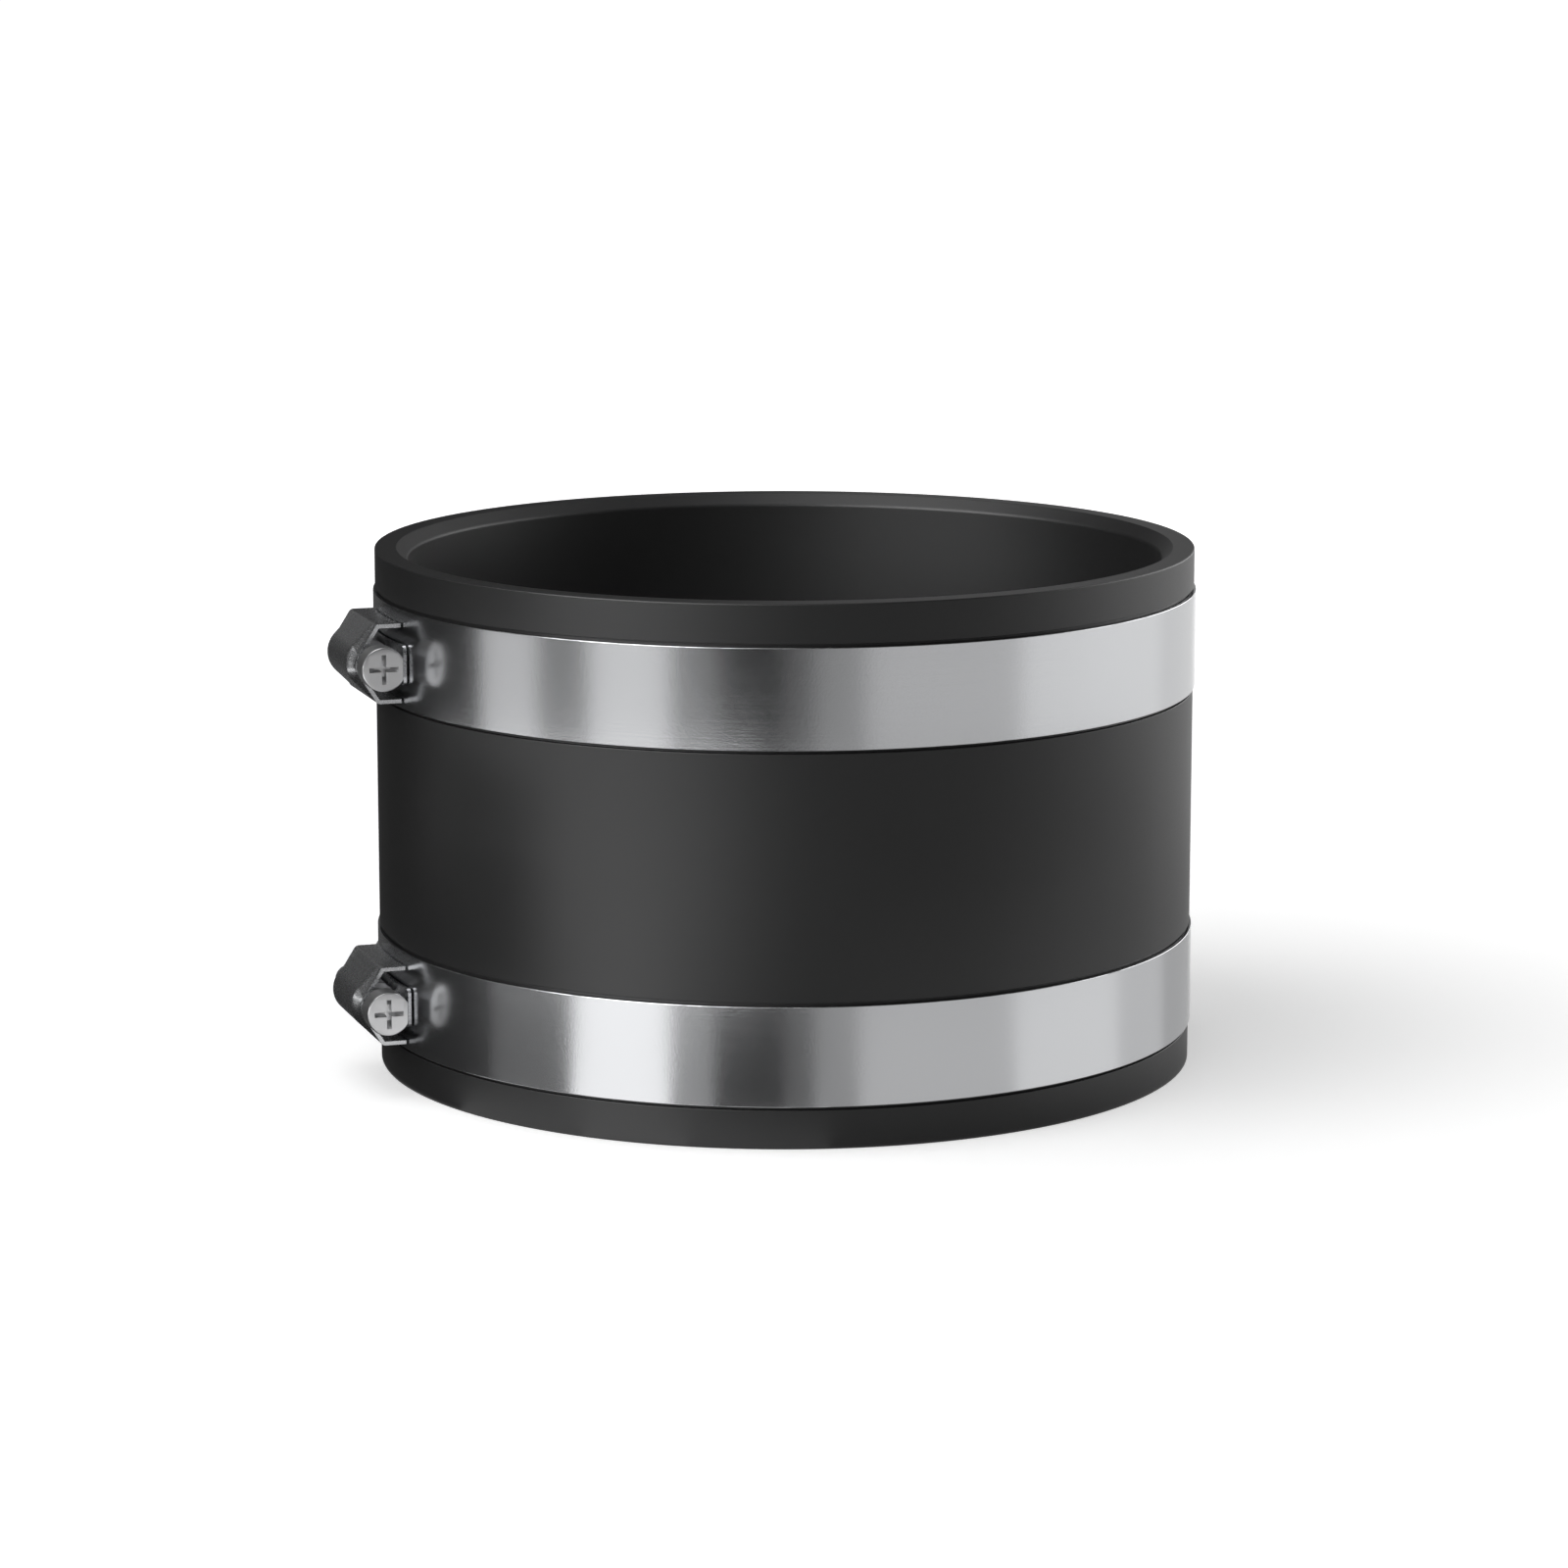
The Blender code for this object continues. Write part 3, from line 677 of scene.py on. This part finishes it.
def bearing(degrees, distance, height):
    """A point at a bearing from the camera's side, turning right, and a height on the floor."""
    angle = math.radians(degrees)
    return (distance * math.sin(angle), -distance * math.cos(angle), height - HALF_LENGTH)


def stage_mesh(name, points, faces, material):
    """A still piece of the studio, which isn't part of the object."""
    mesh = bpy.data.meshes.new(name)
    mesh.from_pydata(points, [], faces)
    mesh.materials.append(material)
    piece = bpy.data.objects.new(name, mesh)
    bpy.context.scene.collection.objects.link(piece)
    return piece


def only_reflected(name, points, faces, shine):
    """A glowing or dark card that shows in reflections and nowhere else."""
    material = bpy.data.materials.new(name)
    material.use_nodes = True
    tree = material.node_tree
    tree.nodes.clear()
    glow = add_node(tree, "Emission", {"Color": WHITE, "Strength": shine})
    add_node(tree, "OutputMaterial", {"Surface": glow.outputs[0]})
    card = stage_mesh(name, points, faces, material)
    card.visible_camera = False
    card.visible_diffuse = False
    card.visible_shadow = False
    return card


def reflected_card(name, bearings, near, far, shine):
    """A card seen only in reflections. It spans the part of the wall between two bearings: an
    edge starts at the wall and runs the way the camera's view is mirrored there. Near and far
    are each (distance from the wall, height on the floor)."""
    start, stop = bearings
    count = max(2, round((stop - start) / CARD_STEP))
    points = []
    for i in range(count + 1):
        turn = start + (stop - start) * i / count
        wall = Vector(bearing(turn, SLEEVE_RADIUS + CARD_GAP, 0.0))
        for distance, height in (near, far):
            points.append(wall + Vector(bearing(2 * turn, distance, height + HALF_LENGTH)))
    faces = [(2 * i, 2 * i + 1, 2 * i + 3, 2 * i + 2) for i in range(count)]
    return only_reflected(name, points, faces, shine)


def softbox(name, place, size, radiance):
    """A soft rectangular lamp that isn't seen by the camera."""
    lamp = bpy.data.lights.new(name, "AREA")
    lamp.shape = "RECTANGLE"
    lamp.size, lamp.size_y = size
    lamp.energy = radiance * math.pi * size[0] * size[1]
    holder = bpy.data.objects.new(name, lamp)
    bpy.context.scene.collection.objects.link(holder)
    holder.location = place
    holder.rotation_euler = (-Vector(place)).to_track_quat("-Z", "Y").to_euler()
    holder.visible_camera = False
    return holder


def background_rays(tree):
    """One for camera, glossy and transmission rays, which see the background."""
    ray = add_node(tree, "LightPath", {})
    seen = add_node(tree, "Math", {0: ray.outputs["Is Camera Ray"],
                                   1: ray.outputs["Is Glossy Ray"]}, operation="MAXIMUM")
    seen = add_node(tree, "Math", {0: seen.outputs[0], 1: ray.outputs["Is Transmission Ray"]},
                    operation="MAXIMUM")
    return seen.outputs[0]


floor_paint = bpy.data.materials.new("white_studio_floor")
floor_paint.use_nodes = True
tree = floor_paint.node_tree
tree.nodes.clear()
paint = add_node(tree, "BsdfDiffuse", {"Color": linear(FLOOR_WHITE)})
place = add_node(tree, "TexCoord", {}).outputs["Object"]
# The floor's white glow grows with the distance from the heart of the shadow, so that the cast
# shadow stays; the weaker glow near it is painted shade there too
reach = add_node(tree, "VectorMath", {0: place, 1: SHADOW_HEART}, operation="DISTANCE")
near_white = add_node(tree, "MapRange", {"Value": reach.outputs["Value"], **NEAR_GLOW})
far_white = add_node(tree, "MapRange", {"Value": reach.outputs["Value"], **FAR_GLOW})
strength = add_node(tree, "Math", {0: near_white.outputs["Result"],
                                   1: far_white.outputs["Result"]}, operation="ADD")
glow = add_node(tree, "Emission", {"Color": WHITE, "Strength": strength.outputs[0]})
lit = add_node(tree, "AddShader", {0: paint.outputs[0], 1: glow.outputs[0]})
floor_mix = add_node(tree, "MixShader", {0: background_rays(tree), 1: paint.outputs[0],
                                         2: lit.outputs[0]})
add_node(tree, "OutputMaterial", {"Surface": floor_mix.outputs[0]})
half = FLOOR_SIZE / 2
stage_mesh("studio_floor", [(-half, -half, -HALF_LENGTH), (half, -half, -HALF_LENGTH),
                            (half, half, -HALF_LENGTH), (-half, half, -HALF_LENGTH)],
           [(0, 1, 2, 3)], floor_paint)

world = bpy.data.worlds.new("white_backdrop")
bpy.context.scene.world = world
world.use_nodes = True
tree = world.node_tree
tree.nodes.clear()
ambient = add_node(tree, "Background", {"Color": WHITE, "Strength": ROOM_LIGHT})
white = add_node(tree, "Background", {"Color": WHITE, "Strength": 1.0})
sky = add_node(tree, "MixShader", {0: background_rays(tree), 1: ambient.outputs[0],
                                   2: white.outputs[0]})
add_node(tree, "OutputWorld", {"Surface": sky.outputs[0]})

# The left softbox gives sheen and no diffuse light, so that the rubber stays black
sheen = softbox("left_softbox", bearing(-50, 1.3, 0.74), size=(1.6, 1.1), radiance=6.6)
sheen.visible_diffuse = False
softbox("left_top_softbox", bearing(-78, 0.50, 1.15), size=(0.9, 1.1), radiance=2.5)
softbox("right_rear_softbox", bearing(121, 1.6, 0.50), size=(2.2, 0.9), radiance=2.2)

# Dark room and reflectors. The foot cards serve the lower end, the near ones the lower band,
# the panels the rubber between the bands, the far ones the upper band, and the two at BEHIND
# the sleeve's rim. An edge is (distance from the wall, height on the floor).
WALL = (0.0, CARD_LIFT)
FOOT = (0.018, CARD_LIFT)
REACH = (0.25, CARD_LIFT)
PANEL_FOOT = (0.12, 12.0 * MM)
PANEL_MIDDLE = (0.12, 34.0 * MM)
PANEL_TOP = (0.12, 48.0 * MM)
EDGE = (3.0, CARD_LIFT)
TOP = (3.0, 4.0)
CEILING = (0.0, 4.0)
BEHIND = (0.30, 115.0 * MM)
BEHIND_TOP = (0.30, 500.0 * MM)
# A card's name, its bearings on the wall, its near and far edges, and how bright it is
CARDS = (
    ("left_foot_felt", (-98, -50), WALL, FOOT, 0.06),
    ("left_foot_grey", (-50, -28), WALL, FOOT, 0.90),
    ("front_foot_bounce", (-28, -13), WALL, FOOT, 1.45),
    ("front_foot_grey", (-13, 6), WALL, FOOT, 0.90),
    ("right_foot_grey", (6, 82), WALL, FOOT, 0.35),
    ("rear_near_felt", (-98, -75), FOOT, REACH, 0.07),
    ("left_near_felt", (-75, -44), FOOT, REACH, 0.02),
    ("left_near_grey", (-44, -30), FOOT, REACH, 0.13),
    ("front_near_bounce", (-30, -15.5), FOOT, REACH, 1.35),
    ("front_near_grey", (-15.5, -9.5), FOOT, REACH, 0.34),
    ("front_near_felt", (-9.5, 0), FOOT, REACH, 0.03),
    ("front_near_shade", (0, 4), FOOT, REACH, 0.14),
    ("front_near_edge", (4, 10), FOOT, REACH, 0.38),
    ("front_near_card", (10, 33), FOOT, REACH, 0.65),
    ("right_near_card", (33, 53), FOOT, REACH, 0.92),
    ("right_near_shade", (53, 66), FOOT, REACH, 0.70),
    ("rear_near_shade", (66, 82), FOOT, REACH, 0.48),
    ("left_panel_edge", (-57, -45), PANEL_MIDDLE, PANEL_TOP, 1.40),
    ("left_panel", (-45, -30), PANEL_FOOT, PANEL_TOP, 1.80),
    ("front_panel", (-30, -4), PANEL_FOOT, PANEL_TOP, 1.60),
    ("front_panel_edge", (-4, 8), PANEL_FOOT, PANEL_TOP, 0.50),
    ("right_panel", (8, 60), PANEL_FOOT, PANEL_TOP, 0.40),
    ("rear_far_felt", (-98, -75), REACH, EDGE, 0.07),
    ("left_far_felt", (-75, -46), REACH, EDGE, 0.02),
    ("left_far_bounce", (-46, -35.5), REACH, EDGE, 0.70),
    ("left_far_gap", (-35.5, -27.5), REACH, EDGE, 0.17),
    ("front_far_bounce", (-27.5, -15.5), REACH, EDGE, 0.84),
    ("front_far_grey", (-15.5, -9), REACH, EDGE, 0.20),
    ("front_far_felt", (-9, 0), REACH, EDGE, 0.01),
    ("front_far_shade", (0, 4), REACH, EDGE, 0.13),
    ("front_far_edge", (4, 11), REACH, EDGE, 0.36),
    ("front_far_card", (11, 34), REACH, EDGE, 0.65),
    ("right_far_card", (34, 64), REACH, EDGE, 0.95),
    ("rear_far_card", (64, 82), REACH, EDGE, 0.80),
    ("rear_curtain", (-98, -75), EDGE, TOP, 0.12),
    ("left_curtain", (-75, 45), EDGE, TOP, 0.02),
    ("right_curtain", (45, 82), EDGE, TOP, 0.70),
    ("rear_left_felt", (-98, -80), BEHIND, BEHIND_TOP, 0.03),
    ("rear_right_grey", (82, 98), BEHIND, BEHIND_TOP, 0.30),
    ("ceiling", (-90, 90), TOP, CEILING, 0.10),
)
for name, bearings, near, far, shine in CARDS:
    reflected_card(name, bearings, near, far, shine)

# A dark flag stands off each clamp and keeps the softbox's glare from the housing. Its place,
# sides, foot and top are in the clamp's own frame, and it leans a little towards the clamp.
FLAG_PLACE = Vector((123.0 * MM, 23.0 * MM, 0.0))
FLAG_TURN = math.radians(22.0)
FLAG_HEAD_SIDE = 34.0 * MM
FLAG_TIP_SIDE = -24.0 * MM
FLAG_FOOT = 6.0 * MM
FLAG_TOPS = (56.0 * MM, 42.0 * MM)
FLAG_LEAN = -6.0 * MM
FLAG_DARK = 0.06
for (side, height), top in zip(CLAMPS, FLAG_TOPS):
    corners = [(0.0, FLAG_HEAD_SIDE, FLAG_FOOT), (0.0, FLAG_TIP_SIDE, FLAG_FOOT),
               (FLAG_LEAN, FLAG_TIP_SIDE, top), (FLAG_LEAN, FLAG_HEAD_SIDE, top)]
    turn = (clamp_place(height) @ Matrix.Translation(FLAG_PLACE)
            @ Matrix.Rotation(FLAG_TURN, 4, "Z"))
    only_reflected(side + "_clamp_flag", [turn @ Vector(c) for c in corners], [(0, 1, 2, 3)],
                   FLAG_DARK)

bpy.context.scene.view_settings.view_transform = "Standard"
